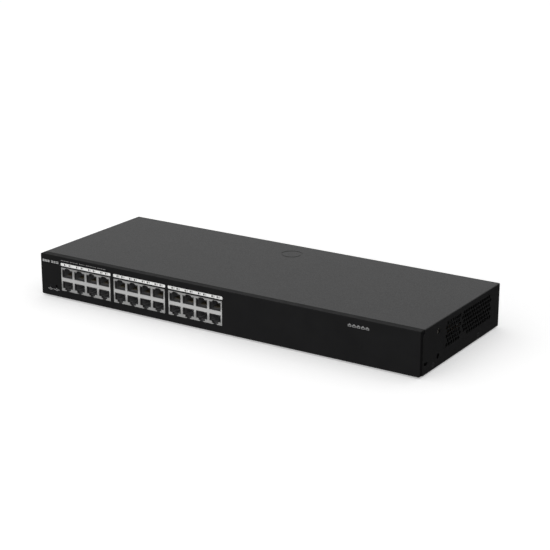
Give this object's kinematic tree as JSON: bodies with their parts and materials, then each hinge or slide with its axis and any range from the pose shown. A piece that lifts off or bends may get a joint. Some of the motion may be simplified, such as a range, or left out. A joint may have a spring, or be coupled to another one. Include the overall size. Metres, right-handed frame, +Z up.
{
  "type": "desktop network switch",
  "caption": "Rack-width desktop network switch: low black steel chassis, plastic front bezel, ganged metal-shielded network sockets, honeycomb-vented sides and a mains inlet behind.",
  "frame": {"origin": "middle of the whole switch in plan, on the surface that the rubber feet stand on", "axes": "+X along the front to the viewer's right, +Y from the front panel to the rear wall, +Z up"},
  "size_m": [0.44, 0.1676, 0.0452],
  "materials": {
    "black_steel": "fine-textured matt black powder coat",
    "black_bezel": "smooth satin black moulding",
    "black_screw": "black-passivated steel",
    "nickel_shield": "nickel-plated sheet, satin",
    "black_moulding": "matt black thermoplastic",
    "gold_contact": "gold-flashed spring wire",
    "clear_guide": "clear polycarbonate",
    "lamp_body": "diffused resin",
    "board_green": "green solder mask on glass-epoxy",
    "board_tan": "phenolic paper board",
    "zinc_steel": "bright zinc plating",
    "chip_black": "moulding compound",
    "heatsink_aluminium": "black anodised",
    "plate_aluminium": "mill finish",
    "crystal_can": "pressed nickel silver can",
    "ferrite": "ground ferrite",
    "capacitor_sleeve": "shrink sleeve",
    "ceramic_chip": "fired ceramic",
    "clear_film": "insulating film",
    "winding_tape": "polyester tape",
    "film_capacitor_case": "potted box",
    "fuse_ceramic": "ceramic tube",
    "connector_white": "natural nylon",
    "dc_wire": "PVC insulation",
    "mains_wire": "PVC insulation",
    "earth_wire": "PVC insulation",
    "switch_button": "moulded plunger",
    "foot_rubber": "soft matt rubber"
  },
  "bodies": {
    "root": {"base_tray": "black_steel", "board_capacitors": "capacitor_sleeve", "board_header": "connector_white", "board_inductors": "ferrite", "board_screws": "zinc_steel", "board_standoffs": "zinc_steel", "bridge_rectifier": "chip_black", "bulk_capacitor": "capacitor_sleeve", "ceramic_capacitors": "ceramic_chip", "chip_heatsink": "heatsink_aluminium", "clock_crystal": "crystal_can", "cover_screws": "black_screw", "dc_lead": "dc_wire", "earth_lead": "earth_wire", "film_capacitor": "film_capacitor_case", "front_bezel": "black_bezel", "ground_screw": "zinc_steel", "ground_terminal": "zinc_steel", "inlet_pins": "zinc_steel", "inlet_screws": "zinc_steel", "jack_contacts_1": "gold_contact", "jack_contacts_2": "gold_contact", "jack_contacts_3": "gold_contact", "jack_housing_1": "black_moulding", "jack_housing_2": "black_moulding", "jack_housing_3": "black_moulding", "jack_shield_1": "nickel_shield", "jack_shield_2": "nickel_shield", "jack_shield_3": "nickel_shield", "lamps": "lamp_body", "lan_transformers": "chip_black", "lead_plugs": "connector_white", "light_pipe_1": "clear_guide", "light_pipe_2": "clear_guide", "light_pipe_3": "clear_guide", "main_board": "board_green", "mains_choke": "ferrite", "mains_fuse": "fuse_ceramic", "mains_inlet": "black_moulding", "mains_lead": "mains_wire", "memory_chip": "chip_black", "output_capacitors": "capacitor_sleeve", "phy_chips": "chip_black", "power_light_pipe": "clear_guide", "power_transistors": "chip_black", "psu_board": "board_tan", "psu_headers": "connector_white", "psu_heatsinks": "plate_aluminium", "psu_insulator": "clear_film", "psu_screws": "zinc_steel", "psu_standoffs": "zinc_steel", "reset_switch_body": "black_moulding", "rubber_feet": "foot_rubber", "switch_chip": "chip_black", "top_cover": "black_steel", "transformer_core": "ferrite", "transformer_winding": "winding_tape"},
    "reset_button": {"reset_button": "switch_button"}
  },
  "joints": [
    {"name": "reset_press", "type": "slide", "parent": "root", "child": "reset_button", "axis": [0, 1, 0], "range_m": [0, 0.00025], "stiffness_N_per_m": 4000, "springref_m": -0.00015}
  ]
}
